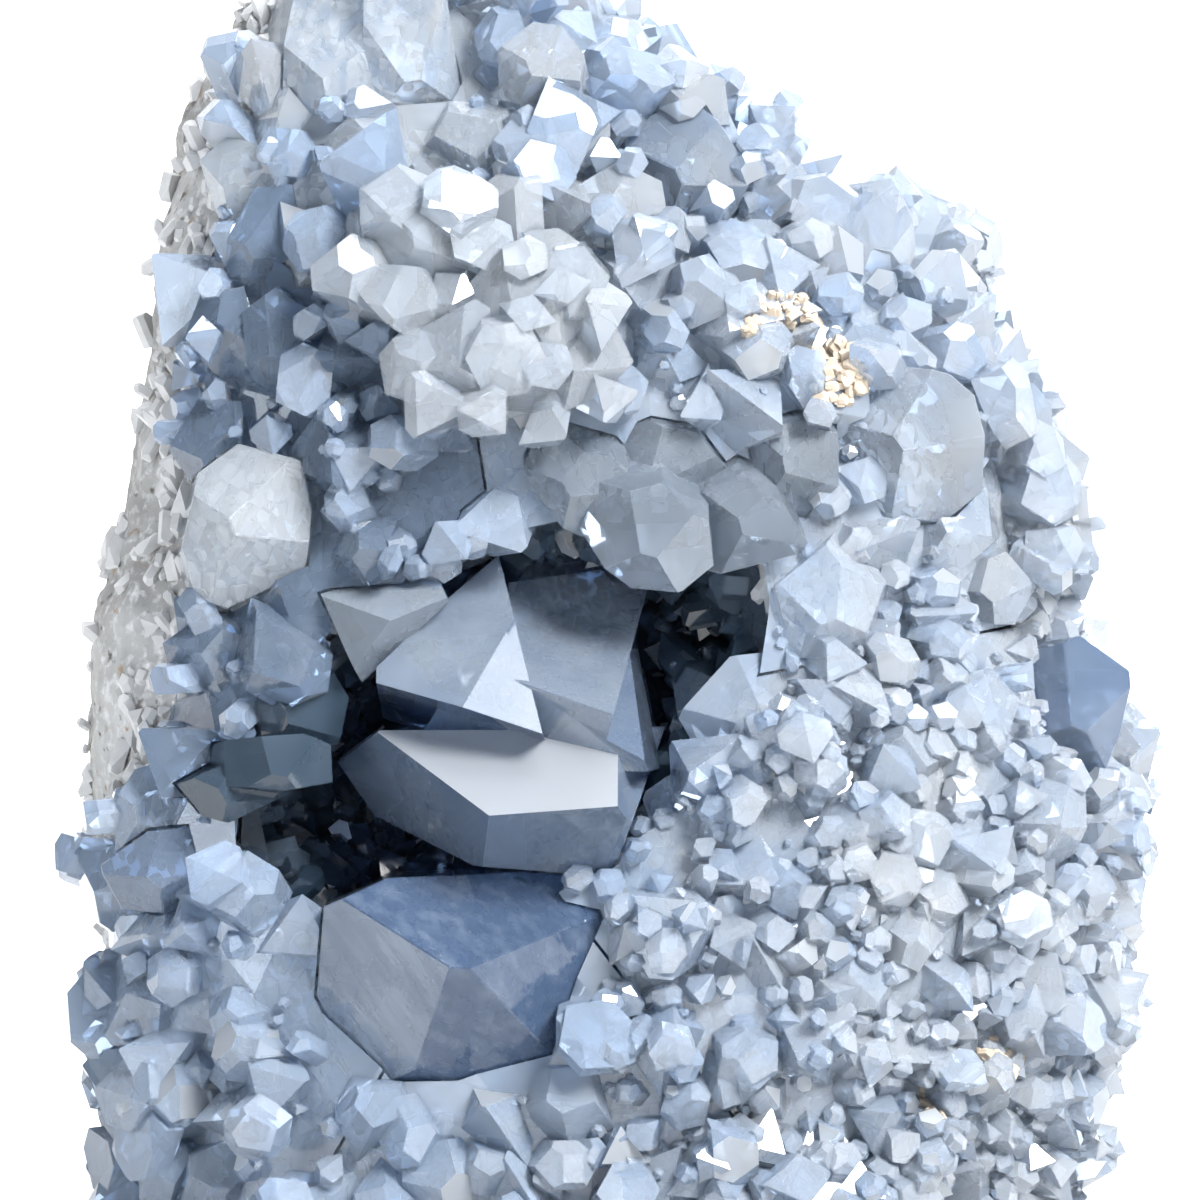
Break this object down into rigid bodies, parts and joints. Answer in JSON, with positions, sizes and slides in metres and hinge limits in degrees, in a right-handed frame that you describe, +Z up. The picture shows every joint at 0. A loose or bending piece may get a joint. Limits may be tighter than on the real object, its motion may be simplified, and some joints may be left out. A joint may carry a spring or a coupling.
{
  "type": "celestite geode piece",
  "caption": "Free-standing piece of a celestite geode: pale blue crystals cover the face and line a hollow in a grey rock shell that stands on a flat cut foot.",
  "frame": {"origin": "centre of the footprint's box, on the plane that the cut foot rests on", "axes": "+Z up, -Y out of the crystal face towards the viewer, +X to the right of someone facing the crystals"},
  "size_m": [0.1078, 0.0782, 0.136],
  "materials": {
    "geode_rock": "matte",
    "dark_celestite": "gloss",
    "druse_celestite": "satin",
    "clear_celestite": "gloss"
  },
  "bodies": {
    "root": {"matrix": "geode_rock", "cavity_crust": "dark_celestite", "crown_druse": "druse_celestite", "shoulder_druse": "druse_celestite", "left_druse": "druse_celestite", "lower_left_druse": "druse_celestite", "right_druse": "druse_celestite", "foot_druse": "druse_celestite", "centre_crystals": "clear_celestite", "lower_crystal": "clear_celestite", "window_crystal": "clear_celestite", "ledge_crystals": "dark_celestite", "left_blue_crystal": "clear_celestite", "cave_crystal": "dark_celestite", "brow_cluster": "clear_celestite", "roof_cluster": "clear_celestite", "shoulder_crystal": "clear_celestite", "corner_crystal": "clear_celestite", "column_crystals": "clear_celestite", "crest_crystal": "clear_celestite"}
  },
  "joints": []
}
